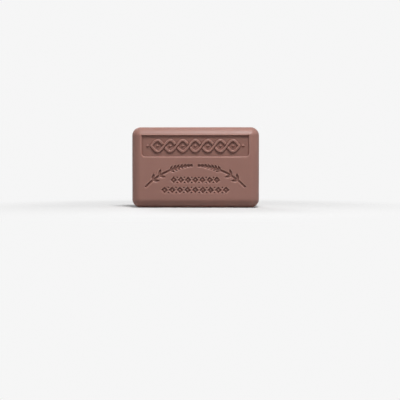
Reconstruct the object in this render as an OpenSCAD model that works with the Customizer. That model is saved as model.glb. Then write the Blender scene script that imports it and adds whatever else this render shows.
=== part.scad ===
// Bar of pressed toilet soap, standing on one long edge.
// One pressed piece: a rounded bar with crowned shoulders, a sunk panel that
// holds a raised braid, and two leafy sprigs arched over two engraved rows.
// The front face looks along -Y, +Z is up and the origin is under the middle.

/* [Bar] */
// Width of the bar, left to right
bar_w = 90; // [80:1:110]
// Height of the bar as it stands on its long edge
bar_h = 57; // [54:1:70]
// Thickness of the bar, front face to back face
bar_t = 24; // [16:1:32]
// Radius of the four corners, seen from the front
corner_r = 6; // [6:0.5:9]

/* [Shoulder] */
// Distance that the shoulder runs in from the side to the flat face
shoulder_in = 5.5; // [4:0.1:5.8]
// Depth of the shoulder, from the flat face back to the side band
shoulder_deep = 5; // [4:0.1:8]
// Rise of the shoulder's crown above a straight chamfer
shoulder_crown = 0.8; // [0.3:0.1:1.2]

/* [Panel] */
// Flat rim between the shoulder and the panel's side walls
rim = 1.4; // [0.5:0.1:2.5]
// Flat rim between the upper shoulder and the panel's top wall
top_rim = 0.2; // [0.2:0.1:2]
// Height of the sunk panel, wall to wall
panel_h = 15.5; // [14:0.1:17.5]
// Depth of the panel's floor below the face
panel_deep = 1.3; // [0.8:0.1:2]
// Run of the sloping side walls and bottom wall
wall_run = 0.7; // [0.3:0.1:1.6]
// Run of the steeper top wall
top_wall_run = 0.4; // [0.2:0.1:1]
// Radius of the panel's two lower corners
panel_corner_r = 2.6; // [2:0.1:5]

/* [Braid] */
// Number of eyes along the braid
braid_eyes = 7; // [5:1:9]
// Height of the braid above the panel's floor
braid_rise = 1.1; // [0.5:0.1:1.2]
// Space between each end of the strands and the panel's wall
braid_end_gap = 7.1; // [6.2:0.1:9]
// Swing of each strand to either side of the braid's middle line
braid_swing = 3.9; // [2.5:0.1:4.2]
// Width of one strand
strand_w = 1.6; // [1:0.1:2]
// Gap cut in the strand that passes under, on each side of the upper one
under_gap = 0.4; // [0.2:0.05:0.6]
// Length of the pointed studs in the eyes and at the ends
stud_w = 3.2; // [2:0.1:4]
// Height of the pointed studs, seen from the front
stud_h = 2.8; // [2:0.1:3.4]
// Gap between each end of the strands and the stud there
stud_gap = 0.2; // [0.1:0.1:1]

/* [Engraving] */
// Depth of the engraved lines
carve_deep = 1; // [0.4:0.1:1.4]
// Width of the lozenge outlines
line_w = 1.2; // [0.7:0.1:1.3]

/* [Sprigs] */
// Drop from the panel's bottom wall to the crown of the arch
arch_drop = 5.9; // [5:0.1:8]
// Rise of the arch from the feet of the stems to its crown
arch_rise = 15.3; // [12:0.1:17]
// Distance from the side of the flat face to the foot of each stem
foot_margin = 4.3; // [3:0.1:7]
// Space between the tips of the two sprigs
tip_gap = 3; // [1.5:0.1:6]
// Width of the stem
stem_w = 1.3; // [0.8:0.1:1.4]
// Length of a leaf
leaf_l = 4.9; // [3:0.1:5.4]
// Width of a leaf
leaf_w = 1.7; // [0.9:0.1:2]
// Angle between a leaf and the stem
leaf_spread = 40; // [25:1:50]
// Place of the upper leaves, as a share of the way from the flowers to the foot
upper_leaves_at = 0.42; // [0.35:0.01:0.55]
// Place of the lower leaves, as a share of the way from the flowers to the foot
lower_leaves_at = 0.68; // [0.62:0.01:0.85]
// Number of pairs of flower buds near the tip
bud_pairs = 7; // [5:1:9]
// Spacing of the pairs of buds along the stem
bud_pitch = 2.4; // [1.7:0.1:2.5]
// Length of the largest bud
bud_l = 3.5; // [2.2:0.1:4]
// Width of the largest bud
bud_w = 1.3; // [0.8:0.1:1.6]
// Size of the smallest bud, as a share of the largest
bud_taper = 0.6; // [0.5:0.01:1]
// Width of the single bud at the tip
tip_bud_w = 1; // [0.7:0.05:1.4]

/* [Lozenge rows] */
// Number of lozenges in the upper row
upper_count = 7; // [5:1:8]
// Number of lozenges in the lower row
lower_count = 9; // [7:1:11]
// Distance from the side of the flat face to the upper row
upper_margin = 21.7; // [18:0.1:26]
// Distance from the side of the flat face to the lower row
lower_margin = 15.1; // [12:0.1:20]
// Height of the lozenges
lozenge_h = 4.6; // [4:0.1:5.6]
// Gap between two lozenges
lozenge_gap = 0.7; // [0.4:0.1:1.2]
// Height of the lower row's middle above the bottom of the flat face
lower_row_up = 7; // [4.5:0.1:8]
// Distance between the middles of the two rows
row_pitch = 7.1; // [6:0.1:8]
// Width of the small nicks between the lozenges
nick_w = 1; // [0.6:0.1:1.4]

/* [Hidden] */
$fn = 64;
fine_sides = 36;
stem_sides = 180;

face_w = bar_w - 2 * shoulder_in;
face_h = bar_h - 2 * shoulder_in;
face_z = bar_t / 2;

panel_w = face_w - 2 * rim;
panel_top = face_h / 2 - top_rim;
panel_bottom = panel_top - panel_h;
floor_z = face_z - panel_deep;

braid_l = panel_w - 2 * braid_end_gap;
eye_l = braid_l / braid_eyes;
braid_y = (panel_top - top_wall_run + panel_bottom + wall_run) / 2;
end_stud_out = strand_w / 2 + stud_gap + stud_w / 2;
eye_steps = 12;

arch_half_span = face_w / 2 - foot_margin;
arch_r = (arch_half_span * arch_half_span + arch_rise * arch_rise) / (2 * arch_rise);
arch_crown_y = panel_bottom - arch_drop;
arch_centre_y = arch_crown_y - arch_r;
foot_angle = asin(arch_half_span / arch_r);
tip_angle = asin(tip_gap / 2 / arch_r);
bud_step = bud_pitch / arch_r * 180 / PI;
spike_angle = tip_angle + bud_pairs * bud_step;

lower_row_y = -face_h / 2 + lower_row_up;
upper_row_y = lower_row_y + row_pitch;

skin = 0.5;

// Area outside the crowned shoulder, between the side and the flat face.
// The corner where side and face would meet is at the origin. The area runs on
// past both ends of the crown, where it lies outside the bar.
module shoulder_waste() {
    chord = norm([shoulder_in, shoulder_deep]);
    crown_r = (chord * chord / 4 + shoulder_crown * shoulder_crown) / (2 * shoulder_crown);
    back = (crown_r - shoulder_crown) / chord;
    difference() {
        translate([-shoulder_in - skin, -shoulder_deep - skin])
            square([shoulder_in + 2 * skin, shoulder_deep + 2 * skin]);
        translate([
            -shoulder_in / 2 - back * shoulder_deep,
            -shoulder_deep / 2 - back * shoulder_in
        ])
            circle(r = crown_r);
    }
}

// Section of the bar from a corner's axis out to the side band.
module edge_section() {
    difference() {
        translate([0, -bar_t / 2])
            square([corner_r, bar_t]);
        for (side = [0, 1])
            mirror([0, side])
                translate([corner_r, bar_t / 2])
                    shoulder_waste();
    }
}

// One straight edge of the bar, its section drawn outwards along +X.
module straight_edge(length) {
    rotate([90, 0, 0])
        linear_extrude(length, center = true)
            edge_section();
}

// The bar before the face is pressed: four edges and four turned corners.
module blank() {
    in_x = bar_w / 2 - corner_r;
    in_y = bar_h / 2 - corner_r;
    cube([2 * in_x, 2 * in_y, bar_t], center = true);
    for (turn = [0, 180])
        rotate([0, 0, turn]) {
            translate([in_x, 0, 0])
                straight_edge(2 * in_y);
            translate([0, in_y, 0])
                rotate([0, 0, 90])
                    straight_edge(2 * in_x);
            translate([in_x, in_y, 0])
                rotate_extrude(angle = 90)
                    edge_section();
            translate([-in_x, in_y, 0])
                rotate([0, 0, 90])
                    rotate_extrude(angle = 90)
                        edge_section();
        }
}

// Wedge of space between two sloping walls, as wide as the panel at the face.
// low and high are the places of the walls, and each run is a wall's slope.
module trough(low, high, low_run, high_run) {
    over = skin / panel_deep;
    polygon([
        [low + low_run, -panel_deep],
        [high - high_run, -panel_deep],
        [high + high_run * over, skin],
        [low - low_run * over, skin]
    ]);
}

// Sunk panel with sloping walls, sharp upper corners and round lower ones.
module panel_recess() {
    over = skin / panel_deep;
    centre_x = panel_w / 2 - panel_corner_r;
    centre_y = panel_bottom + panel_corner_r;
    module full_width() {
        translate([0, panel_top + skin, 0])
            rotate([90, 0, 0])
                linear_extrude(panel_h + 2 * skin)
                    trough(-panel_w / 2, panel_w / 2, wall_run, wall_run);
    }
    module full_height() {
        translate([-panel_w / 2 - skin, 0, 0])
            rotate([90, 0, 90])
                linear_extrude(panel_w + 2 * skin)
                    trough(panel_bottom, panel_top, wall_run, top_wall_run);
    }
    translate([0, 0, face_z]) {
        intersection() {
            full_width();
            full_height();
            union() {
                translate([-panel_w, centre_y, -bar_t / 2])
                    cube([2 * panel_w, panel_h, bar_t]);
                translate([-centre_x, panel_bottom - skin * 2, -bar_t / 2])
                    cube([2 * centre_x, panel_h, bar_t]);
            }
        }
        for (x = [-centre_x, centre_x])
            translate([x, centre_y, -panel_deep])
                cylinder(
                    h = panel_deep + skin,
                    r1 = panel_corner_r - wall_run,
                    r2 = panel_corner_r + wall_run * over
                );
    }
}

// Middle line of a strand at a distance along the braid, and its slope.
function strand_y(x, side) = side * braid_swing * sin(180 * x / eye_l);
function strand_slope(x, side) =
    side * braid_swing * cos(180 * x / eye_l) * PI / eye_l;

// Point on the edge of a strand, half a width off its middle line.
function strand_edge(x, side, off) =
    let (slope = strand_slope(x, side), long = norm([1, slope]))
    [x - off * slope / long, strand_y(x, side) + off / long];

// Outline of one strand, drawn from the left end of the braid.
module strand(side, width) {
    last = braid_eyes * eye_steps;
    step = eye_l / eye_steps;
    polygon(concat(
        [for (i = [0 : last]) strand_edge(i * step, side, width / 2)],
        [for (i = [last : -1 : 0]) strand_edge(i * step, side, -width / 2)]
    ));
}

// A strand with a gap at every crossing where the other one lies on top.
module woven_strand(side, first_under) {
    difference() {
        strand(side, strand_w);
        for (k = [first_under : 2 : braid_eyes - 1])
            intersection() {
                strand(-side, strand_w + 2 * under_gap);
                translate([k * eye_l, 0])
                    square([eye_l / 2, 2 * braid_swing], center = true);
            }
    }
}

// Raised stud on a lozenge base, its four sloping sides meeting in a point.
module stud() {
    slant = atan2(stud_h, stud_w);
    reach = stud_w * stud_h / norm([stud_w, stud_h]) / 2;
    intersection_for(side = [-1, 1])
        rotate([0, 0, side * slant])
            rotate([90, 0, 90])
                linear_extrude(stud_w + stud_h, center = true)
                    polygon([
                        [-reach, -skin / 2],
                        [reach, -skin / 2],
                        [reach, 0],
                        [0, braid_rise],
                        [-reach, 0]
                    ]);
}

// Two strands that pass over and under each other, with a stud in each eye.
module braid() {
    translate([-braid_l / 2, braid_y, floor_z]) {
        translate([0, 0, -skin / 2])
            linear_extrude(braid_rise + skin / 2)
                woven_strand(1, 1);
        translate([0, 0, -skin / 2])
            linear_extrude(braid_rise + skin / 2)
                woven_strand(-1, 2);
        for (k = [0 : braid_eyes - 1])
            translate([(k + 0.5) * eye_l, 0, 0])
                stud();
        for (end = [-1, 1])
            translate([braid_l / 2 * (1 + end), 0, 0]) {
                translate([0, 0, -skin / 2])
                    cylinder(h = braid_rise + skin / 2, d = strand_w, $fn = fine_sides);
                translate([end * end_stud_out, 0, 0])
                    stud();
            }
    }
}

// A pointed oval that starts at the origin and runs along +X.
module petal(length, width) {
    round_r = (length * length + width * width) / (4 * width);
    translate([length / 2, 0])
        intersection() {
            translate([0, round_r - width / 2])
                circle(r = round_r, $fn = fine_sides);
            translate([0, width / 2 - round_r])
                circle(r = round_r, $fn = fine_sides);
        }
}

// Places its children on the arch, heading towards the crown.
// The angle is measured from the crown to the left.
module on_arch(angle) {
    translate([0, arch_centre_y])
        rotate(angle)
            translate([0, arch_r])
                children();
}

// A pair of pointed ovals, one to each side of the stem.
module pair(length, width, spread) {
    for (side = [-1, 1])
        rotate(side * spread)
            petal(length, width);
}

module leaves_and_buds() {
    for (share = [upper_leaves_at, lower_leaves_at])
        on_arch(spike_angle + share * (foot_angle - spike_angle))
            pair(leaf_l, leaf_w, leaf_spread);
    for (k = [0 : bud_pairs - 1])
        let (grown = bud_taper + (1 - bud_taper) * k / (bud_pairs - 1))
        on_arch(tip_angle + (k + 1) * bud_step)
            pair(bud_l * grown, bud_w * grown, leaf_spread * grown);
    on_arch(tip_angle + bud_step)
        petal(bud_pitch, tip_bud_w);
}

module stem() {
    translate([0, arch_centre_y, 0])
        rotate([0, 0, 90 + tip_angle + bud_step / 2])
            rotate_extrude(angle = foot_angle - tip_angle - bud_step / 2, $fn = stem_sides)
                translate([arch_r - stem_w / 2, 0])
                    square([stem_w, carve_deep + skin]);
}

// Left sprig, as the tool that cuts it.
module sprig_cutter() {
    stem();
    linear_extrude(carve_deep + skin)
        leaves_and_buds();
}

module lozenge(width, height) {
    polygon([[-width / 2, 0], [0, -height / 2], [width / 2, 0], [0, height / 2]]);
}

// Outline of a lozenge with a line of even width and an island inside.
module lozenge_line(width, height) {
    side = norm([width, height]);
    thick_x = line_w * side / height;
    thick_y = line_w * side / width;
    difference() {
        lozenge(width, height);
        lozenge(width - 2 * thick_x, height - 2 * thick_y);
    }
}

// A row of lozenges with small nicks above and below the gaps between them.
module lozenge_row(count, margin) {
    pitch = (face_w - 2 * margin) / count;
    for (k = [0 : count - 1])
        translate([(k - (count - 1) / 2) * pitch, 0])
            lozenge_line(pitch - lozenge_gap, lozenge_h);
    for (k = [1 : count - 1])
        for (y = [-1, 1])
            translate([(k - count / 2) * pitch, y * (lozenge_h - nick_w) / 2])
                lozenge(nick_w, nick_w);
}

module rows_cutter() {
    linear_extrude(carve_deep + skin) {
        translate([0, upper_row_y])
            lozenge_row(upper_count, upper_margin);
        translate([0, lower_row_y])
            lozenge_row(lower_count, lower_margin);
    }
}

module soap_bar() {
    color([0.54, 0.40, 0.37])
        translate([0, 0, bar_h / 2])
            rotate([90, 0, 0])
                union() {
                    difference() {
                        blank();
                        panel_recess();
                        translate([0, 0, face_z - carve_deep]) {
                            sprig_cutter();
                            mirror([1, 0, 0])
                                sprig_cutter();
                            rows_cutter();
                        }
                    }
                    braid();
                }
}

soap_bar();
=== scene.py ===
# %% [markdown]
# # A pressed bar of toilet soap
# The object is one piece of milled soap. Two halves of a steel die squeeze a warm billet, so the bar
# comes out with crowned shoulders, a flat side band, a sunk panel that holds a raised braid, and two
# leafy sprigs arched over two rows of lozenges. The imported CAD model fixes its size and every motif's
# place. This lesson gives the same shape the soft edges and the waxy skin that pressed soap has.
#
# The CAD frame is loaded first. It tells the script how big the bar is. The smaller sizes, such as
# the shoulder's and the panel's, come where each form is made, and are those of the CAD model.

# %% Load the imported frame
import math

import bmesh
import bpy
import numpy as np
from mathutils import Matrix, Vector, noise


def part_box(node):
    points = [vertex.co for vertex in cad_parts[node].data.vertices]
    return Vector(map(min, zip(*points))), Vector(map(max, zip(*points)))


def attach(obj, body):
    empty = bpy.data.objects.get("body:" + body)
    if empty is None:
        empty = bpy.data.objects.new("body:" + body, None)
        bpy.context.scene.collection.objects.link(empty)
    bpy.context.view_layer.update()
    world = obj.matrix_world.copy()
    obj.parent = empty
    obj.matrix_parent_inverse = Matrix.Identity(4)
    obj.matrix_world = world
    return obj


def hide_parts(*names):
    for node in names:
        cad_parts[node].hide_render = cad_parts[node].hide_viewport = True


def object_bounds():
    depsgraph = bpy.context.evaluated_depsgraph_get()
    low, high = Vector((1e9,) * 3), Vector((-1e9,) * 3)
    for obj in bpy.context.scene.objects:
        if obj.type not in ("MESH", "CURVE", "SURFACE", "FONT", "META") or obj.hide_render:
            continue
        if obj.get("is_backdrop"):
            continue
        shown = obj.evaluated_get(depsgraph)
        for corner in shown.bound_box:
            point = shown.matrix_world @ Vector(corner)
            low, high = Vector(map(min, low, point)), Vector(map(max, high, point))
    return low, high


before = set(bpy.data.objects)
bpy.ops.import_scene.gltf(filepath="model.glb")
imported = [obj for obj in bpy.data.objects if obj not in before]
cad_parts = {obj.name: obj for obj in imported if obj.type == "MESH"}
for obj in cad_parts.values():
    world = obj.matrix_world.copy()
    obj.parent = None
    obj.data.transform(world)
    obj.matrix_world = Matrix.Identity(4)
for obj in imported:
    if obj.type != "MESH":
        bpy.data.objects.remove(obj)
cad_low, cad_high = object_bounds()

MM = 0.001
NODE = "soap_bar"
node_low, node_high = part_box(NODE)
bar_w, bar_t, bar_h = (node_high - node_low) / MM
print(f"bar: {bar_w:.1f} mm long, {bar_h:.1f} mm high, {bar_t:.1f} mm thick")

# %% [markdown]
# ## The camera
# The photograph looks at the front face from the bar's own height and from about two degrees to its
# right, so the right shoulder looks wider than the left one. A long lens keeps the outline square.
# The bar sits a little left of the middle and in the upper half of the picture, so the camera's axis
# passes to its right, and it tips down by two degrees, which shows some floor. The camera's place is
# worked out from the pixels where the bar starts and ends in the photograph.

# %% Camera
FRAME_PX = 400
BAR_LEFT_PX = 131.9
BAR_RIGHT_PX = 259.6
BAR_TOP_PX = 127.0
CAMERA_AWAY = 0.80
CAMERA_TIP = math.radians(-2.0)
CAMERA_TURN = math.radians(1.7)
SENSOR_MM = 36.0

face_away = CAMERA_AWAY - bar_t / 2 * MM
metres_per_px = bar_w * MM / (BAR_RIGHT_PX - BAR_LEFT_PX)
frame_width = FRAME_PX * metres_per_px
axis_x = (FRAME_PX / 2 - (BAR_LEFT_PX + BAR_RIGHT_PX) / 2) * metres_per_px
axis_z = bar_h * MM - (FRAME_PX / 2 - BAR_TOP_PX) * metres_per_px

camera_data = bpy.data.cameras.new("camera")
camera_data.sensor_width = SENSOR_MM
camera_data.lens = SENSOR_MM * face_away / frame_width
camera_data.clip_start = 0.01
camera_data.clip_end = 20.0
camera = bpy.data.objects.new("camera", camera_data)
beside_bar = Vector((axis_x, -CAMERA_AWAY, axis_z - face_away * math.tan(CAMERA_TIP)))
camera.location = Matrix.Rotation(CAMERA_TURN, 3, "Z") @ beside_bar
camera.rotation_euler = (math.pi / 2 + CAMERA_TIP, 0.0, CAMERA_TURN)
bpy.context.collection.objects.link(camera)
bpy.context.scene.camera = camera
print(f"camera: {camera_data.lens:.0f} mm lens, {camera.location.z / MM:.0f} mm above the floor")

# %% [markdown]
# ## The lamps
# One small lamp hangs above the bar, a little in front of it and to its right. It makes the upper
# shoulder nearly twice as bright as the face and throws the short shadow under the panel's upper
# wall. A second lamp, high up on the right, gives that side of the bar a little more light than the
# other. A third one behind the bar lights its plain back and the floor there. The levels are plain
# ones: a colour renders about as bright as it is written.

# %% Lamps
KEY_WATTS = 4.0
KEY_SIZE = 0.15
KEY_PLACE = Vector((0.08, -0.29, 0.55))
SIDE_WATTS = 1.2
SIDE_SIZE = 0.5
SIDE_PLACE = Vector((0.9, -0.2, 0.85))
BACK_WATTS = 4.0
BACK_SIZE = 0.6
BACK_PLACE = Vector((-0.45, 0.9, 0.6))
BAR_MIDDLE = Vector((0.0, 0.0, bar_h * MM / 2))


def add_lamp(name, place, size, watts):
    """A square lamp that points at the middle of the bar."""
    data = bpy.data.lights.new(name, "AREA")
    data.shape = "SQUARE"
    data.size = size
    data.energy = watts
    lamp = bpy.data.objects.new(name, data)
    lamp.location = place
    lamp.rotation_euler = (BAR_MIDDLE - place).to_track_quat("-Z", "Y").to_euler()
    bpy.context.collection.objects.link(lamp)


add_lamp("key_lamp", KEY_PLACE, KEY_SIZE, KEY_WATTS)
add_lamp("side_lamp", SIDE_PLACE, SIDE_SIZE, SIDE_WATTS)
add_lamp("back_lamp", BACK_PLACE, BACK_SIZE, BACK_WATTS)
print(f"lamps: {KEY_WATTS} W above, {SIDE_WATTS} W on the right, {BACK_WATTS} W behind")

# %% [markdown]
# ## The world
# The world fills the shadows evenly. As a light it is weak, so the relief keeps its shading, but
# where the camera sees it, straight or in a gloss, it is nearly white. The Light Path node tells the
# two apart, and a Mix node picks the level.

# %% World
WORLD_LEVEL = 0.23
WORLD_SEEN = 0.92


def math_value(tree, operation, first, second):
    """Two values put through a Math node."""
    node = tree.nodes.new("ShaderNodeMath")
    node.operation = operation
    tree.links.new(first, node.inputs[0])
    tree.links.new(second, node.inputs[1])
    return node.outputs["Value"]


def seen_directly(tree):
    """A value that is 1 for what the camera sees, itself or through gloss or glass."""
    path = tree.nodes.new("ShaderNodeLightPath").outputs
    seen = math_value(tree, "MAXIMUM", path["Is Camera Ray"], path["Is Glossy Ray"])
    return math_value(tree, "MAXIMUM", seen, path["Is Transmission Ray"])


def set_world():
    """An even white world: weak as a light, nearly white where it is seen."""
    world = bpy.data.worlds.new("studio")
    world.use_nodes = True
    tree = world.node_tree
    background = tree.nodes["Background"]
    background.inputs["Color"].default_value = (1.0, 1.0, 1.0, 1.0)
    level = tree.nodes.new("ShaderNodeMix")
    level.inputs["A"].default_value = WORLD_LEVEL
    level.inputs["B"].default_value = WORLD_SEEN
    tree.links.new(seen_directly(tree), level.inputs["Factor"])
    tree.links.new(level.outputs["Result"], background.inputs["Strength"])
    bpy.context.scene.world = world


set_world()
bpy.context.scene.view_settings.view_transform = "Standard"
print(f"world: {WORLD_LEVEL} as a light, {WORLD_SEEN} where it is seen")

# %% [markdown]
# ## The floor
# The floor is a wide round sheet. Near the bar it is lit and keeps the bar's soft shadow. Further out
# it fades into the same pale tone as the world behind it, so no horizon shows. A curved backdrop would
# hide the horizon from one side only, and this works from all sides. As a source of bounced light the
# floor is darker than it looks, or it would wash out the lower shoulder.

# %% Floor sheet
FLOOR_RADIUS = 6.0
FLOOR_SIDES = 96


def make_floor():
    """A flat round sheet under the bar."""
    mesh = bmesh.new()
    bmesh.ops.create_circle(mesh, cap_ends=True, segments=FLOOR_SIDES, radius=FLOOR_RADIUS)
    data = bpy.data.meshes.new("floor")
    mesh.to_mesh(data)
    mesh.free()
    sheet = bpy.data.objects.new("floor", data)
    bpy.context.collection.objects.link(sheet)
    return sheet


floor = make_floor()
print(f"floor: {FLOOR_RADIUS:.0f} m in radius")

# %% Floor paper
FADE_START = 0.055
FADE_END = 0.21
FLOOR_SEEN = (0.64, 0.64, 0.64, 1.0)
FLOOR_BOUNCE = (0.42, 0.405, 0.39, 1.0)
PALE = (WORLD_SEEN, WORLD_SEEN, WORLD_SEEN, 1.0)


def mix_colour(tree, factor, first, second):
    """A blend of two colours, each a socket or a fixed colour."""
    node = tree.nodes.new("ShaderNodeMix")
    node.data_type = "RGBA"
    tree.links.new(factor, node.inputs["Factor"])
    for socket, colour in (("A", first), ("B", second)):
        if isinstance(colour, bpy.types.NodeSocket):
            tree.links.new(colour, node.inputs[socket])
        else:
            node.inputs[socket].default_value = colour
    return node.outputs["Result"]


def floor_material():
    """Matt paper near the bar and the world's pale tone further out."""
    material = bpy.data.materials.new("floor_paper")
    material.use_nodes = True
    tree = material.node_tree
    paper = tree.nodes["Principled BSDF"]
    paper.inputs["Roughness"].default_value = 0.9
    paper.inputs["Specular IOR Level"].default_value = 0.1
    seen = seen_directly(tree)
    tree.links.new(mix_colour(tree, seen, FLOOR_BOUNCE, FLOOR_SEEN), paper.inputs["Base Color"])

    place = tree.nodes.new("ShaderNodeTexCoord")
    away = tree.nodes.new("ShaderNodeVectorMath")
    away.operation = "LENGTH"
    tree.links.new(place.outputs["Object"], away.inputs[0])
    fade = tree.nodes.new("ShaderNodeMapRange")
    fade.interpolation_type = "SMOOTHERSTEP"
    fade.inputs["From Min"].default_value = FADE_START
    fade.inputs["From Max"].default_value = FADE_END
    tree.links.new(away.outputs["Value"], fade.inputs["Value"])
    glow = tree.nodes.new("ShaderNodeEmission")
    glow.inputs["Color"].default_value = PALE
    blend = tree.nodes.new("ShaderNodeMixShader")
    tree.links.new(math_value(tree, "MULTIPLY", fade.outputs["Result"], seen), blend.inputs["Fac"])
    tree.links.new(paper.outputs["BSDF"], blend.inputs[1])
    tree.links.new(glow.outputs["Emission"], blend.inputs[2])
    tree.links.new(blend.outputs["Shader"], tree.nodes["Material Output"].inputs["Surface"])
    return material


floor.data.materials.append(floor_material())
floor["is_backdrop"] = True
print(f"floor paper: fades out from {FADE_START} to {FADE_END} m")

# %% [markdown]
# ## The die maker's drawing
# From here on lengths are in millimetres, seen from the front with the origin in the middle of the
# bar: x to the right, y up the face and z out of it. That is how the die maker would draw it. The
# mesh is turned upright and scaled to metres at the very end. The sizes are the CAD model's own, so
# the dressed bar and the solid agree.

# %% Flat face inside the shoulder
SHOULDER_IN = 5.5

face_w = bar_w - 2 * SHOULDER_IN
face_h = bar_h - 2 * SHOULDER_IN
print(f"flat face: {face_w:.1f} by {face_h:.1f} mm")

# %% [markdown]
# ## The edge's section
# Cut the bar across and its edge shows a flat face, a crowned shoulder and the side band. The two
# creases between them are rounded on a real bar, because soap gives a little and hands rub it. A bevel
# would give one round edge, but the crown is a flatter arc that meets both sides at an angle. So the
# section is a short chain of points: a curve over each crease and the crown's arc between them.

# %% Section from the flat face to the side band
CORNER_R = 6.0
SHOULDER_DEEP = 5.0
SHOULDER_CROWN = 0.8
FACE_EDGE_SOFT = 0.45
BAND_EDGE_SOFT = 1.2
ARC_POINTS = 60
CURVE_POINTS = 12


def crown_arc():
    """Points along the crown's arc, from the flat face to the side band."""
    chord = math.hypot(SHOULDER_IN, SHOULDER_DEEP)
    radius = (chord**2 / 4 + SHOULDER_CROWN**2) / (2 * SHOULDER_CROWN)
    back = (radius - SHOULDER_CROWN) / chord
    centre = np.array([
        CORNER_R - SHOULDER_IN / 2 - back * SHOULDER_DEEP,
        SHOULDER_DEEP / 2 + back * SHOULDER_IN,
    ])
    first = np.array([CORNER_R - SHOULDER_IN, 0.0]) - centre
    last = np.array([CORNER_R, SHOULDER_DEEP]) - centre
    first_turn = math.atan2(first[1], first[0])
    last_turn = math.atan2(last[1], last[0])
    turns = np.linspace(first_turn, last_turn, ARC_POINTS)
    return centre + radius * np.column_stack([np.cos(turns), np.sin(turns)])


def bend(start, corner, end):
    """A curve that leaves start for corner and reaches end from corner."""
    t = np.linspace(0, 1, CURVE_POINTS)[:, None]
    return (1 - t) ** 2 * start + 2 * t * (1 - t) * corner + t**2 * end


def edge_section():
    """Distance out from the core and depth below the face, along the section."""
    arc = crown_arc()
    from_face = np.hypot(*(arc - arc[0]).T)
    from_band = np.hypot(*(arc - arc[-1]).T)
    middle = arc[(from_face > FACE_EDGE_SOFT) & (from_band > BAND_EDGE_SOFT)]
    face_start = arc[0] - [FACE_EDGE_SOFT, 0.0]
    band_end = arc[-1] + [0.0, BAND_EDGE_SOFT]
    return np.vstack([
        bend(face_start, arc[0], middle[0]),
        middle[1:-1],
        bend(middle[-1], arc[-1], band_end),
    ])


section = edge_section()
section_start = section[0, 0]
section_way = np.concatenate([[0.0], np.cumsum(np.hypot(*np.diff(section, axis=0).T))])
section_share = section_way / section_way[-1]
print(f"edge section: {section_way[-1]:.1f} mm long")

# %% [markdown]
# ## Relief from distances
# The relief could be cut with booleans or raised from a painted height map. A boolean leaves sharp
# edges and can fail where cutters touch, and a painted map is only as fine as its pixels. Here each
# motif is described by how far a point of the face is from its outline, with a minus sign inside. A
# soft ramp turns that distance into a sloping wall with rounded corners, top and bottom, and joined
# outlines are as easy as taking the smaller distance.

# %% Ramps and walls


def soft_ramp(share, blend):
    """Rises from 0 to 1 as share does, with both corners rounded over blend."""

    def area(t):
        return np.clip(t, 0, 1) ** 2 / 2 + np.maximum(t - 1, 0)

    return (area(share + blend / 2) - area(share - blend / 2)) / blend


def wall(distance, run, blend):
    """1 inside an outline and 0 outside it, with a wall that slopes over run."""
    return soft_ramp(0.5 - distance / run, blend / run)


print(f"on its outline a wall is at {wall(distance=0.0, run=1.0, blend=0.5):.2f} of its height")

# %% [markdown]
# ## The sunk panel
# A die needs sloping walls, or the soap tears when it opens. The panel's upper wall is the steepest
# and keeps sharp corners, its lower corners are round, and the lower wall slopes enough to catch the
# light from above as a bright line.

# %% Panel
RIM = 1.4
TOP_RIM = 0.2
PANEL_H = 15.5
PANEL_CORNER_R = 2.6
WALL_RUN = 0.7
TOP_WALL_RUN = 0.4
PANEL_BLEND = 0.4
CORNER_BLEND = 0.3

panel_w = face_w - 2 * RIM
panel_top = face_h / 2 - TOP_RIM
panel_bottom = panel_top - PANEL_H
print(f"panel: {panel_w:.1f} by {PANEL_H:.1f} mm, {TOP_RIM} mm below the upper shoulder")


def soft_minimum(first, second, blend):
    """The smaller of two values, with the crease between them rounded over blend."""
    share = np.clip(0.5 + (second - first) / (2 * blend), 0, 1)
    return second + (first - second) * share - blend * share * (1 - share)


def panel_walls(x, y):
    """How far down the nearest wall a point is: 0 at the face, 1 at the floor."""
    side = (panel_w / 2 - np.abs(x)) / WALL_RUN
    top = (panel_top - y) / TOP_WALL_RUN
    bottom = (y - panel_bottom) / WALL_RUN
    corner_x = np.abs(x) - (panel_w / 2 - PANEL_CORNER_R)
    corner_y = panel_bottom + PANEL_CORNER_R - y
    corner = (PANEL_CORNER_R - np.hypot(corner_x, corner_y)) / WALL_RUN
    in_corner = (corner_x > 0) & (corner_y > 0)
    lower = np.where(in_corner, corner, np.minimum(side, bottom))
    return soft_minimum(lower, top, CORNER_BLEND)


def panel_share(x, y):
    """1 on the panel's floor and 0 on the face."""
    return soft_ramp(panel_walls(x, y), PANEL_BLEND)


# %% [markdown]
# ## The braid
# Two strands swing about one line and take turns on top. The one that passes under is cut back on
# both sides of the upper one, which is how an engraver shows a crossing on a shallow die. Pointed
# studs fill the eyes between the strands and stand at both ends. The distance from a wavy strand has
# no short formula, so a few steps of Newton's method find the nearest point of its middle line.

# %% Strands
BRAID_EYES = 7
BRAID_END_GAP = 7.1
BRAID_SWING = 3.9
STRAND_W = 1.6
UNDER_GAP = 0.4
NEWTON_STEPS = 4
LEAST_STIFFNESS = 0.6

braid_l = panel_w - 2 * BRAID_END_GAP
eye_l = braid_l / BRAID_EYES
braid_y = (panel_top - TOP_WALL_RUN + panel_bottom + WALL_RUN) / 2
print(f"braid: {BRAID_EYES} eyes of {eye_l:.2f} mm")


def strand_distance(x, y, side):
    """Distance from the edge of one strand, which has round ends."""
    wave = math.pi / eye_l
    near = x.copy()
    for _ in range(NEWTON_STEPS):
        height = side * BRAID_SWING * np.sin(wave * near)
        slope = side * BRAID_SWING * wave * np.cos(wave * near)
        bending = -wave * wave * height
        pull = near - x + (height - y) * slope
        stiffness = np.maximum(1 + slope**2 + (height - y) * bending, LEAST_STIFFNESS)
        near = np.clip(near - pull / stiffness, 0, braid_l)
    height = side * BRAID_SWING * np.sin(wave * near)
    return np.hypot(near - x, height - y) - STRAND_W / 2


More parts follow.
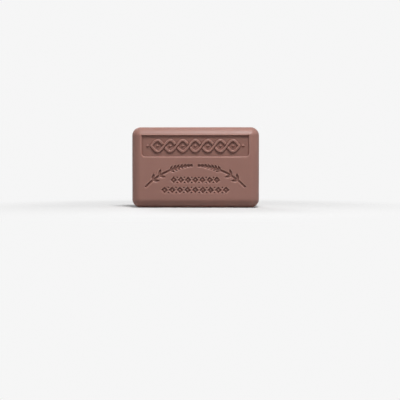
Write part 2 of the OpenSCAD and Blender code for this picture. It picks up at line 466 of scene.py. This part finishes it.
def braid_distance(x, y):
    """Distance from the edges of both strands, cut where they pass under."""
    along = x + braid_l / 2
    up = y - braid_y
    rising = strand_distance(along, up, 1)
    falling = strand_distance(along, up, -1)
    crossing = np.clip(np.round(along / eye_l), 0, BRAID_EYES).astype(int)
    inside = (crossing > 0) & (crossing < BRAID_EYES)
    near_crossing = inside & (np.abs(along - crossing * eye_l) < eye_l / 4)
    odd = crossing % 2 == 1
    cut_rising = np.where(near_crossing & odd, np.maximum(rising, UNDER_GAP - falling), rising)
    cut_falling = np.where(near_crossing & ~odd, np.maximum(falling, UNDER_GAP - rising), falling)
    return np.minimum(cut_rising, cut_falling)


# %% Studs
STUD_W = 3.2
STUD_H = 2.8
STUD_GAP = 0.2

stud_places = [(k + 0.5) * eye_l - braid_l / 2 for k in range(BRAID_EYES)]
end_stud_x = braid_l / 2 + STRAND_W / 2 + STUD_GAP + STUD_W / 2
stud_places += [-end_stud_x, end_stud_x]
print(f"studs: {len(stud_places)}, from {min(stud_places):.1f} to {max(stud_places):.1f} mm")


def stud_share(x, y):
    """Height of the pointed studs, from 0 at their base to 1 at the point."""
    out = np.min([np.abs(x - place) for place in stud_places], axis=0) / (STUD_W / 2)
    up = np.abs(y - braid_y) / (STUD_H / 2)
    return 1 - out - up


# %% [markdown]
# ## The sprigs
# Each sprig is a stem bent to an arc, two pairs of leaves and a spike of small buds that shrink
# towards the tip. A leaf could be drawn as a curve, but the overlap of two circles has the same
# pointed shape, and its distance takes one line. So one function places any leaf or bud on the arc.
# Only the left sprig is described: taking the mirror image of x gives the right one.

# %% Arch of the stems
ARCH_DROP = 5.9
ARCH_RISE = 15.3
FOOT_MARGIN = 4.3
TIP_GAP = 3.0

arch_half_span = face_w / 2 - FOOT_MARGIN
arch_r = (arch_half_span**2 + ARCH_RISE**2) / (2 * ARCH_RISE)
arch_centre_y = panel_bottom - ARCH_DROP - arch_r
foot_turn = math.asin(arch_half_span / arch_r)
tip_turn = math.asin(TIP_GAP / 2 / arch_r)
print(f"arch: radius {arch_r:.1f} mm, {(foot_turn - tip_turn) * arch_r:.1f} mm of it for each sprig")


def on_arch(x, y, turn):
    """Coordinates from a point of the arch, the first along the stem to the crown."""
    from_x = x + arch_r * math.sin(turn)
    from_y = y - arch_centre_y - arch_r * math.cos(turn)
    along = from_x * math.cos(turn) + from_y * math.sin(turn)
    across = from_y * math.cos(turn) - from_x * math.sin(turn)
    return along, across


# %% Leaves, buds and stems
STEM_W = 1.3
LEAF_L = 4.9
LEAF_W = 1.7
LEAF_SPREAD = 40.0
LEAVES_AT = (0.42, 0.68)
BUD_PAIRS = 7
BUD_PITCH = 2.4
BUD_L = 3.5
BUD_W = 1.3
BUD_TAPER = 0.6
TIP_BUD_W = 1.0

bud_turn = BUD_PITCH / arch_r
spike_turn = tip_turn + BUD_PAIRS * bud_turn
print(f"spike: {BUD_PAIRS} pairs of buds over {BUD_PAIRS * BUD_PITCH:.1f} mm of the stem")


def petal_distance(x, y, length, width):
    """Distance from a pointed oval that starts at the origin and runs along x."""
    round_r = (length**2 + width**2) / (4 * width)
    off = round_r - width / 2
    along = x - length / 2
    return np.maximum(np.hypot(along, y - off), np.hypot(along, y + off)) - round_r


def pair_distance(x, y, turn, length, width, spread):
    """Distance from two petals that leave the stem to either side."""
    along, across = on_arch(x, y, turn)
    across = np.abs(across)
    petal_x = along * math.cos(spread) + across * math.sin(spread)
    petal_y = across * math.cos(spread) - along * math.sin(spread)
    return petal_distance(petal_x, petal_y, length, width)


def stem_distance(x, y):
    """Distance from the stem, an arc of even width with cut ends."""
    out = np.hypot(x, y - arch_centre_y)
    turn = np.arctan2(-x, y - arch_centre_y)
    across = np.abs(out - arch_r) - STEM_W / 2
    past_foot = (turn - foot_turn) * arch_r
    past_tip = (tip_turn + bud_turn / 2 - turn) * arch_r
    return np.maximum(across, np.maximum(past_foot, past_tip))


def sprig_distance(x, y):
    """Distance from both sprigs."""
    x = -np.abs(x)
    nearest = stem_distance(x, y)
    spread = math.radians(LEAF_SPREAD)
    for share in LEAVES_AT:
        turn = spike_turn + share * (foot_turn - spike_turn)
        nearest = np.minimum(nearest, pair_distance(x, y, turn, LEAF_L, LEAF_W, spread))
    for k in range(BUD_PAIRS):
        grown = BUD_TAPER + (1 - BUD_TAPER) * k / (BUD_PAIRS - 1)
        turn = tip_turn + (k + 1) * bud_turn
        pair = pair_distance(x, y, turn, BUD_L * grown, BUD_W * grown, spread * grown)
        nearest = np.minimum(nearest, pair)
    along, across = on_arch(x, y, tip_turn + bud_turn)
    return np.minimum(nearest, petal_distance(along, across, BUD_PITCH, TIP_BUD_W))


# %% [markdown]
# ## The rows of lozenges
# Two rows of outlined lozenges fill the space under the arch. A loop could measure them one by one.
# But all lozenges of a row are alike, so x is first folded into one pitch, and one lozenge is
# measured for the whole row, which is quicker.

# %% Lozenges
UPPER_COUNT = 7
LOWER_COUNT = 9
UPPER_MARGIN = 21.7
LOWER_MARGIN = 15.1
LOZENGE_H = 4.6
LOZENGE_GAP = 0.7
LINE_W = 1.2
NICK_W = 1.0
LOWER_ROW_UP = 7.0
ROW_PITCH = 7.1

lower_row_y = -face_h / 2 + LOWER_ROW_UP
upper_row_y = lower_row_y + ROW_PITCH
print(f"rows: {UPPER_COUNT} lozenges above and {LOWER_COUNT} below, {ROW_PITCH} mm apart")


def lozenge_distance(x, y, width, height):
    """Distance from the sides of an upright lozenge."""
    half_w = width / 2
    half_h = height / 2
    return (np.abs(x) * half_h + np.abs(y) * half_w - half_w * half_h) / math.hypot(half_w, half_h)


def row_distance(x, y, count, margin):
    """Distance from one row of lozenge outlines and the nicks between them."""
    pitch = (face_w - 2 * margin) / count
    width = pitch - LOZENGE_GAP
    place = np.clip(np.round(x / pitch + (count - 1) / 2), 0, count - 1) - (count - 1) / 2
    outer = lozenge_distance(x - place * pitch, y, width, LOZENGE_H)
    line = np.maximum(outer, -outer - LINE_W)
    gap = np.clip(np.round(x / pitch + count / 2), 1, count - 1) - count / 2
    nick_y = np.abs(y) - (LOZENGE_H - NICK_W) / 2
    nick = lozenge_distance(x - gap * pitch, nick_y, NICK_W, NICK_W)
    return np.minimum(line, nick)


def rows_distance(x, y):
    """Distance from both rows."""
    upper = row_distance(x, y - upper_row_y, UPPER_COUNT, UPPER_MARGIN)
    lower = row_distance(x, y - lower_row_y, LOWER_COUNT, LOWER_MARGIN)
    return np.minimum(upper, lower)


# %% [markdown]
# ## The whole relief
# Depth below the flat face is the panel, less what stands up in it, plus what is cut into the field
# below it. The walls slope a little and their edges are rounded, as a worn die leaves them.

# %% Relief
PANEL_DEEP = 1.3
BRAID_RISE = 1.1
BRAID_RUN = 0.3
BRAID_BLEND = 0.3
STUD_BLEND = 0.25
CARVE_DEEP = 1.0
CARVE_RUN = 0.34
CARVE_BLEND = 0.26
print(f"depths: panel {PANEL_DEEP} mm, sprigs and lozenges {CARVE_DEEP} mm, braid {BRAID_RISE} mm up")


def relief_depth(x, y):
    """Depth of the pressed relief below the flat face."""
    strands = wall(braid_distance(x, y), BRAID_RUN, BRAID_BLEND)
    studs = soft_ramp(stud_share(x, y), STUD_BLEND)
    raised = BRAID_RISE * np.maximum(strands, studs)
    sunk = PANEL_DEEP * panel_share(x, y)
    outlines = np.minimum(sprig_distance(x, y), rows_distance(x, y))
    carved = CARVE_DEEP * wall(outlines, CARVE_RUN, CARVE_BLEND)
    in_panel = y > panel_bottom - WALL_RUN
    return np.where(in_panel, sunk - np.minimum(raised, sunk), carved)


# %% [markdown]
# ## A grid that is fine only where it must be
# The bar starts as a flat grid of millimetre squares, with rows half as wide where the shoulder will
# be. Faces near an outline are halved again and again, so the walls get many small faces and the plain
# field keeps few. Each pass uses `subdivide_edges` on the edges of the chosen faces, which also cuts
# the faces next to them. On this blank z is only a label, the level: 1 for the front, -1 for the back,
# and between them for the band.

# %% Maps of the grid
CELL = 1.0
EDGE_CELL = 0.5

core_x = bar_w / 2 - CORNER_R
core_y = bar_h / 2 - CORNER_R


def grid_lines(half, core):
    """How many cells the grid has one way, and where its lines go."""
    edge_cells = round(CORNER_R / EDGE_CELL)
    core_cells = round(2 * core / CELL)
    cells = core_cells + 2 * edge_cells
    knots = [0, edge_cells, edge_cells + core_cells, cells]
    return cells, np.interp(np.arange(cells + 1), knots, [-half, -core, core, half])


def corner_map(x, y):
    """Pulls the square corners of the grid in to round ones, and measures how far out they are."""
    out_x = np.maximum(np.abs(x) - core_x, 0) / CORNER_R
    out_y = np.maximum(np.abs(y) - core_y, 0) / CORNER_R
    round_x = out_x * np.sqrt(1 - out_y**2 / 2) * CORNER_R
    round_y = out_y * np.sqrt(1 - out_x**2 / 2) * CORNER_R
    new_x = np.where(out_x > 0, np.sign(x) * (core_x + round_x), x)
    new_y = np.where(out_y > 0, np.sign(y) * (core_y + round_y), y)
    return new_x, new_y, np.hypot(round_x, round_y)


print(f"the grid's corner is drawn in to {corner_map(bar_w / 2, bar_h / 2)[2]:.2f} mm from the core")

# %% Front of the blank
GRID_HALF = 0.5
FRONT = 1.0

columns, column_lines = grid_lines(bar_w / 2, core_x)
rows, row_lines = grid_lines(bar_h / 2, core_y)
soap = bmesh.new()
bmesh.ops.create_grid(soap, x_segments=columns, y_segments=rows, size=GRID_HALF)
for vert in soap.verts:
    column = round((vert.co.x + GRID_HALF) * columns)
    row = round((vert.co.y + GRID_HALF) * rows)
    vert.co = (column_lines[column], row_lines[row], FRONT)
print(f"front blank: {columns} by {rows} faces")

# %% [markdown]
# ## Back and side band
# The back is a copy of the front, made before the relief gets its fine faces. `bridge_loops` could
# join the two rims, but growing the band from the front's rim gives each ring a level of its own. The
# last ring is welded to the back's rim. The rings lie closer in the middle, where the two halves of
# the die meet and leave a faint line.

# %% Back and band
BACK = -1.0
TINY = 0.001
BAND_LEVELS = (0.8, 0.6, 0.4, 0.2, 0.08, 0.03, 0.0, -0.03, -0.08, -0.2, -0.4, -0.6, -0.8, BACK)


def picked(geometry, kind):
    """The items of one kind from what an operator gives back."""
    return [item for item in geometry if isinstance(item, kind)]


def add_back(mesh):
    """Copies the front to the back."""
    copy = bmesh.ops.duplicate(mesh, geom=mesh.verts[:] + mesh.edges[:] + mesh.faces[:])["geom"]
    bmesh.ops.translate(mesh, vec=(0.0, 0.0, BACK - FRONT), verts=picked(copy, bmesh.types.BMVert))


def add_band(mesh, rim_edges):
    """Grows the side band from the front's rim and welds it to the back's."""
    level = FRONT
    for next_level in BAND_LEVELS:
        grown = bmesh.ops.extrude_edge_only(mesh, edges=rim_edges)["geom"]
        step = (0.0, 0.0, next_level - level)
        bmesh.ops.translate(mesh, vec=step, verts=picked(grown, bmesh.types.BMVert))
        rim_edges = picked(grown, bmesh.types.BMEdge)
        level = next_level
    bmesh.ops.remove_doubles(mesh, verts=mesh.verts, dist=TINY)
    bmesh.ops.recalc_face_normals(mesh, faces=mesh.faces)


front_rim = [edge for edge in soap.edges if edge.is_boundary]
add_back(soap)
add_band(soap, front_rim)
open_edges = sum(1 for edge in soap.edges if not edge.is_manifold)
print(f"closed blank: {len(soap.faces)} faces, {open_edges} open edges")

# %% [markdown]
# ## Fine faces for the relief
# Three passes halve the faces near the outlines to half, a quarter and an eighth of a millimetre.
# Each one reaches less far from the outlines and from the panel's walls than the one before it, so it
# never cuts the odd faces at that one's border. Some of these have a corner in the middle of a
# straight side. Such a face would fold into slivers when it is pressed, so it is cut into triangles
# while everything is flat.

# %% Reach of the passes
OUTLINE_REACH = (1.55, 0.68, 0.25)
PANEL_REACH = (1.3, 0.52, 0.14)
print(f"passes: within {OUTLINE_REACH} mm of an outline, {PANEL_REACH} mm of the panel's walls")


def outline_distance(x, y):
    """Distance from the nearest outline of the relief, apart from the panel's walls."""
    braid = np.abs(braid_distance(x, y))
    stud = np.maximum(-stud_share(x, y), 0) * STUD_H / 2
    carved = np.abs(np.minimum(sprig_distance(x, y), rows_distance(x, y)))
    return np.minimum(np.minimum(braid, stud), carved)


def panel_wall_distance(x, y):
    """Distance from the panel's steepest wall, 0 on it. The other walls count as nearer."""
    down = panel_walls(x, y)
    return np.maximum(np.maximum(-down, down - 1), 0) * TOP_WALL_RUN


def near_relief(x, y, outline_reach, panel_reach):
    """True within reach of an outline or of the panel's walls."""
    return (outline_distance(x, y) < outline_reach) | (panel_wall_distance(x, y) < panel_reach)


# %% Refining passes
STRAIGHT = 0.01


def refine(mesh, outline_reach, panel_reach):
    """Halves the front faces whose middle is within reach of the relief."""
    middles = [face.calc_center_median() for face in mesh.faces]
    x, y, level = np.array(middles).T
    x, y, _ = corner_map(x, y)
    chosen = (level > FRONT - TINY) & near_relief(x, y, outline_reach, panel_reach)
    edges = {edge for face, take in zip(mesh.faces, chosen) if take for edge in face.edges}
    bmesh.ops.subdivide_edges(
        mesh, edges=list(edges), cuts=1, use_grid_fill=True, use_single_edge=True,
        quad_corner_type="INNER_VERT",
    )


def has_straight_corner(face):
    """True if two sides of a face lie in one line."""
    return any(math.pi - loop.calc_angle() < STRAIGHT for loop in face.loops)


for reaches in zip(OUTLINE_REACH, PANEL_REACH):
    refine(soap, *reaches)
    print(f"refined within {reaches[0]} mm: {len(soap.faces)} faces")
odd_faces = [face for face in soap.faces if has_straight_corner(face)]
bmesh.ops.triangulate(soap, faces=odd_faces, quad_method="BEAUTY", ngon_method="BEAUTY")
print(f"{len(odd_faces)} odd faces cut into triangles")

# %% [markdown]
# ## Pressing the blank
# Now every point of the blank moves to its place in one go, as in the die. Points near the rim follow
# the edge's section, points of the band spread over the bar's thickness, and points of the front sink
# by the depth of the relief.

# %% Pressing
PARTING_RISE = 0.07
PARTING_HALF = 0.25
PARTING_FADE = 2.0


def pressed(x, y, level):
    """Places of the blank's points on the finished bar."""
    flat_x, flat_y, out = corner_map(x, y)
    share = np.clip((out - section_start) / (CORNER_R - section_start), 0, 1)
    far = np.where(share > 0, np.interp(share, section_share, section[:, 0]), out)
    sunk = np.interp(share, section_share, section[:, 1])
    z = level * (bar_t / 2 - sunk)
    ridge = np.clip(1 - np.abs(z) / PARTING_HALF, 0, 1) * PARTING_RISE
    far = far + ridge * np.clip((flat_y + bar_h / 2) / PARTING_FADE, 0, 1)
    hub_x = np.clip(flat_x, -core_x, core_x)
    hub_y = np.clip(flat_y, -core_y, core_y)
    stretch = np.where(out > 0, far / np.maximum(out, TINY), 1)
    return hub_x + (flat_x - hub_x) * stretch, hub_y + (flat_y - hub_y) * stretch, z


blank = np.array([vert.co for vert in soap.verts])
x, y, z = pressed(*blank.T)
on_front = blank[:, 2] > FRONT - TINY
depths = np.where(on_front, relief_depth(x, y), 0)
z = z - depths
for vert, place in zip(soap.verts, np.column_stack([x, y, z])):
    vert.co = place
print(f"pressed: {len(soap.verts)} points, relief {depths.max():.2f} mm deep")

# %% [markdown]
# ## Soft skin
# No pressed bar is perfectly true. Warm soap drags in the die and shrinks a little as it cools, so
# its shoulders wander by a few hundredths of a millimetre. Slow noise along the normals does that. A
# Displace modifier could do it too, but moving the points here keeps the noise weaker on the face and
# lets it fade out at the lower band, which stays flat because the bar stands on it.

# %% Slight wander of the surface
WANDER = 0.07
WANDER_LENGTH = 13.0
FACE_WANDER = 0.35
BASE_FADE = 4.0


def wander(point, shoulder):
    """Height of the slow noise at a point, least on the flat face and none at the base."""
    high = noise.noise(point / WANDER_LENGTH)
    from_base = min((point.y + bar_h / 2) / BASE_FADE, 1.0)
    return WANDER * high * from_base * (FACE_WANDER + (1 - FACE_WANDER) * shoulder)


soap.normal_update()
shoulder_share = np.clip(corner_map(*blank[:, :2].T)[2] / SHOULDER_IN, 0, 1)
moves = [vert.normal * wander(vert.co, share) for vert, share in zip(soap.verts, shoulder_share)]
for vert, move in zip(soap.verts, moves):
    vert.co += move
print(f"wander: up to {max(move.length for move in moves):.3f} mm")

# %% [markdown]
# ## Hollows and crests
# The material paints shade into the grooves and recesses and paints the crests paler, partly as
# soap rubbed by wrapper and hands and partly as painted highlight. To know which is which, each point
# stores how much deeper it lies than the ring of relief around it, a number from about -1 to 1. A
# second attribute holds the relief's own depth. The material reads both.

# %% Hollow attribute
HOLLOW_REACH = 0.9
HOLLOW_DIRECTIONS = 8


def hollow_share(x, y):
    """How much deeper the relief is here than around, in millimetres."""
    around = np.zeros_like(x)
    for turn in range(HOLLOW_DIRECTIONS):
        angle = 2 * math.pi * turn / HOLLOW_DIRECTIONS
        step_x = HOLLOW_REACH * math.cos(angle)
        step_y = HOLLOW_REACH * math.sin(angle)
        around += relief_depth(x + step_x, y + step_y)
    return relief_depth(x, y) - around / HOLLOW_DIRECTIONS


hollows = np.where(on_front, hollow_share(x, y), 0)
print(f"hollows: from {hollows.min():.2f} to {hollows.max():.2f} mm")

# %% [markdown]
# ## Standing the bar up
# The drawing lies flat, so it is turned upright by a quarter turn about x, scaled to metres and moved
# to the place of the CAD bar. All of this goes into the mesh, and the object stays at the origin.

# %% Bar object
upright = (
    Matrix.Translation(((node_low.x + node_high.x) / 2, (node_low.y + node_high.y) / 2, node_low.z))
    @ Matrix.Scale(MM, 4)
    @ Matrix.Translation((0.0, 0.0, bar_h / 2))
    @ Matrix.Rotation(math.pi / 2, 4, "X")
)
bmesh.ops.transform(soap, matrix=upright, verts=soap.verts)
bmesh.ops.recalc_face_normals(soap, faces=soap.faces)
triangles = sum(len(face.verts) - 2 for face in soap.faces)
bar_mesh = bpy.data.meshes.new("pressed_bar")
soap.to_mesh(bar_mesh)
soap.free()
for face in bar_mesh.polygons:
    face.use_smooth = True
for name, values in (("hollow", hollows), ("depth", depths)):
    attribute = bar_mesh.attributes.new(name, "FLOAT", "POINT")
    attribute.data.foreach_set("value", values.astype(np.float32))
bar = bpy.data.objects.new("pressed_bar", bar_mesh)
bpy.context.collection.objects.link(bar)
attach(bar, "root")
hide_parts(NODE)
print(f"bar: {triangles} triangles")

# %% [markdown]
# ## Patterns in milled soap
# Milled soap is dense and waxy. Its colour is even, with faint clouds from the mill and long faint
# streaks from the plodder, the screw press that pushes it out as a rod. Its skin has a fine grain and
# a few pits from air. A photographed texture would bring its own light along and blur up close. Noise
# and Voronoi textures on Object coordinates do neither, and they stay fixed in the soap however the
# bar is turned.

# %% Clouds, streaks, grain and pits
CLOUD_SCALE = 42.0
STREAK_STRETCH = (14.0, 170.0, 170.0)
GRAIN_SCALE = 1900.0
PIT_SCALE = 420.0
print(f"clouds about {1 / CLOUD_SCALE / MM:.0f} mm wide, grain {1 / GRAIN_SCALE / MM:.1f} mm")


def texture_value(tree, kind, output, coordinates, **settings):
    """One output of a texture on the given coordinates, with its inputs set."""
    node = tree.nodes.new(kind)
    tree.links.new(coordinates, node.inputs["Vector"])
    for name, setting in settings.items():
        node.inputs[name].default_value = setting
    return node.outputs[output]


def soap_patterns(tree):
    """Clouds, streaks along the bar, grain and pits, each a value that changes over the skin."""
    place = tree.nodes.new("ShaderNodeTexCoord").outputs["Object"]
    stretched = tree.nodes.new("ShaderNodeMapping")
    stretched.inputs["Scale"].default_value = STREAK_STRETCH
    tree.links.new(place, stretched.inputs["Vector"])
    lengthways = stretched.outputs["Vector"]
    clouds = texture_value(tree, "ShaderNodeTexNoise", "Fac", place, Scale=CLOUD_SCALE, Detail=3.0)
    streaks = texture_value(tree, "ShaderNodeTexNoise", "Fac", lengthways, Scale=1.0, Detail=3.0)
    grain = texture_value(tree, "ShaderNodeTexNoise", "Fac", place, Scale=GRAIN_SCALE, Detail=2.0)
    pits = texture_value(tree, "ShaderNodeTexVoronoi", "Distance", place, Scale=PIT_SCALE)
    return clouds, streaks, grain, pits


# %% [markdown]
# ## Colour in layers
# What is pressed in is darker, as painted shade, and the narrow grooves are darkest of all. The crests
# are paler, partly rubbed soap and partly painted highlight, and the edges of the face round each motif
# are the palest, a painted highlight on rubbed soap. A painted picture could say so, but the two stored
# numbers follow the relief exactly. The milled pattern comes first, then the pale crests and rims, and
# the painted shade last, so that a groove stays dark whatever is around it.

# %% Colour
SOAP = (0.262, 0.131, 0.106, 1.0)
SOAP_PALE = (0.282, 0.144, 0.118, 1.0)
# painted shade: a darker colour for what lies below the face, where the relief shades itself
SOAP_RECESS_SHADE = (0.226, 0.11, 0.088, 1.0)
# painted shade: the darkest colour, for the shade in narrow grooves and at the foot of walls
SOAP_GROOVE_SHADE = (0.135, 0.054, 0.042, 1.0)
# paler crests: partly rubbed soap and partly painted highlight
SOAP_RUBBED_HIGHLIGHT = (0.32, 0.172, 0.143, 1.0)
# painted highlight on the face's edges round each motif, over some rubbing
SOAP_RIM_HIGHLIGHT = (0.385, 0.212, 0.178, 1.0)
NOISE_RANGE = (0.3, 0.7)
CLOUD_SHARE = (0.0, 0.6)
STREAK_SHARE = (0.0, 0.4)
GROOVE_SHADE_HOLLOW = (0.05, 0.7)
CREST_HOLLOW = (-0.1, -0.8)
RIM_HOLLOW = (-0.03, -0.5)
RIM_DEPTH = (0.2, 0.0)
# depths over which the painted shade of the recesses sets in
RECESS_SHADE_DEPTH = (0.2, 1.1)
print(f"colour: {SOAP[:3]}, {SOAP_GROOVE_SHADE[:3]} in the grooves and {SOAP_RIM_HIGHLIGHT[:3]} round them")


def remap(tree, value, old, new=(0.0, 1.0)):
    """A value moved from one range to another and kept inside it."""
    node = tree.nodes.new("ShaderNodeMapRange")
    tree.links.new(value, node.inputs["Value"])
    node.inputs["From Min"].default_value = old[0]
    node.inputs["From Max"].default_value = old[1]
    node.inputs["To Min"].default_value = new[0]
    node.inputs["To Max"].default_value = new[1]
    return node.outputs["Result"]


def soap_colour(tree, clouds, streaks, hollow, depth):
    """The milled soap, then crests and rims paler as rubbed soap with painted highlight, then painted
    shade.
    """
    cloud_part = remap(tree, clouds, NOISE_RANGE, CLOUD_SHARE)
    streak_part = remap(tree, streaks, NOISE_RANGE, STREAK_SHARE)
    # mask of the face's edges round each motif, for their painted highlight
    rim = math_value(
        tree, "MULTIPLY", remap(tree, hollow, RIM_HOLLOW), remap(tree, depth, RIM_DEPTH)
    )
    colour = mix_colour(tree, math_value(tree, "ADD", cloud_part, streak_part), SOAP, SOAP_PALE)
    # paler crests, partly rubbed soap and partly painted highlight
    colour = mix_colour(tree, remap(tree, hollow, CREST_HOLLOW), colour, SOAP_RUBBED_HIGHLIGHT)
    colour = mix_colour(tree, rim, colour, SOAP_RIM_HIGHLIGHT)
    # painted shade, darker the deeper the relief is pressed in
    colour = mix_colour(tree, remap(tree, depth, RECESS_SHADE_DEPTH), colour, SOAP_RECESS_SHADE)
    # painted shade in the grooves, laid last so that it stays dark
    return mix_colour(tree, remap(tree, hollow, GROOVE_SHADE_HOLLOW), colour, SOAP_GROOVE_SHADE)


# %% [markdown]
# ## Wax, grain and pits
# Soap shines softly, like wax, and a little more where it is rubbed. Its grain and the few pits from
# air in the billet are hundredths of a millimetre deep. That is too fine for the mesh, so Bump nodes
# tilt the shading there and move no point.

# %% Roughness and bump
CLOUD_ROUGHNESS = (0.42, 0.5)
GRAIN_ROUGHNESS = (-0.03, 0.03)
CREST_ROUGHNESS = (0.0, -0.07)
GRAIN_BUMP = 0.02 * MM
PIT_BUMP = 0.06 * MM
PIT_RANGE = (0.0, 0.09)
print(f"skin: roughness {CLOUD_ROUGHNESS[0]} to {CLOUD_ROUGHNESS[1]}, pits {PIT_BUMP / MM:.2f} mm deep")


def soap_roughness(tree, clouds, grain, hollow):
    """Waxy all over, a little smoother on the crests."""
    cloud_part = remap(tree, clouds, NOISE_RANGE, CLOUD_ROUGHNESS)
    grain_part = remap(tree, grain, NOISE_RANGE, GRAIN_ROUGHNESS)
    crest_part = remap(tree, hollow, CREST_HOLLOW, CREST_ROUGHNESS)
    return math_value(tree, "ADD", math_value(tree, "ADD", cloud_part, grain_part), crest_part)


def bumped(tree, height, distance, below=None):
    """The normal of a height pattern, laid over another normal if there is one."""
    node = tree.nodes.new("ShaderNodeBump")
    node.inputs["Distance"].default_value = distance
    tree.links.new(height, node.inputs["Height"])
    if below is not None:
        tree.links.new(below, node.inputs["Normal"])
    return node.outputs["Normal"]


# %% [markdown]
# ## The finished material
# Everything meets in one Principled BSDF. Its subsurface part lets light go about a millimetre into
# the soap, red further than blue. That softens the edges, and it is what makes the bar look like soap
# and not like clay.

# %% Soap material
LIGHT_GOES_IN = (1.0, 0.45, 0.3)


def attribute_value(tree, name):
    """A value that the mesh stores at its points."""
    node = tree.nodes.new("ShaderNodeAttribute")
    node.attribute_name = name
    return node.outputs["Fac"]


def soap_material():
    """Dense waxy soap, nearly matt."""
    material = bpy.data.materials.new("milled_soap")
    material.use_nodes = True
    tree = material.node_tree
    shader = tree.nodes["Principled BSDF"]
    shader.inputs["IOR"].default_value = 1.46
    shader.inputs["Specular IOR Level"].default_value = 0.42
    shader.inputs["Subsurface Weight"].default_value = 0.12
    shader.inputs["Subsurface Radius"].default_value = LIGHT_GOES_IN
    shader.inputs["Subsurface Scale"].default_value = MM

    clouds, streaks, grain, pits = soap_patterns(tree)
    hollow = attribute_value(tree, "hollow")
    depth = attribute_value(tree, "depth")
    tree.links.new(soap_colour(tree, clouds, streaks, hollow, depth), shader.inputs["Base Color"])
    tree.links.new(soap_roughness(tree, clouds, grain, hollow), shader.inputs["Roughness"])
    grain_normal = bumped(tree, grain, GRAIN_BUMP)
    pit_normal = bumped(tree, remap(tree, pits, PIT_RANGE), PIT_BUMP, grain_normal)
    tree.links.new(pit_normal, shader.inputs["Normal"])
    return material


milled_soap = soap_material()
bar.data.materials.append(milled_soap)
print(f"material: {milled_soap.name}, of {len(milled_soap.node_tree.nodes)} nodes")

# %% [markdown]
# ## Size of the finished bar
# The box of the finished bar is compared with the CAD model's and the largest change is printed, so
# that anyone can check that the looks did not change the size.

# %% Sizes and finish
visual_low, visual_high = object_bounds()
growth = max(abs(new - old) for new, old in zip((*visual_low, *visual_high), (*cad_low, *cad_high)))
print(f"largest change of the box: {growth / MM:.2f} mm")
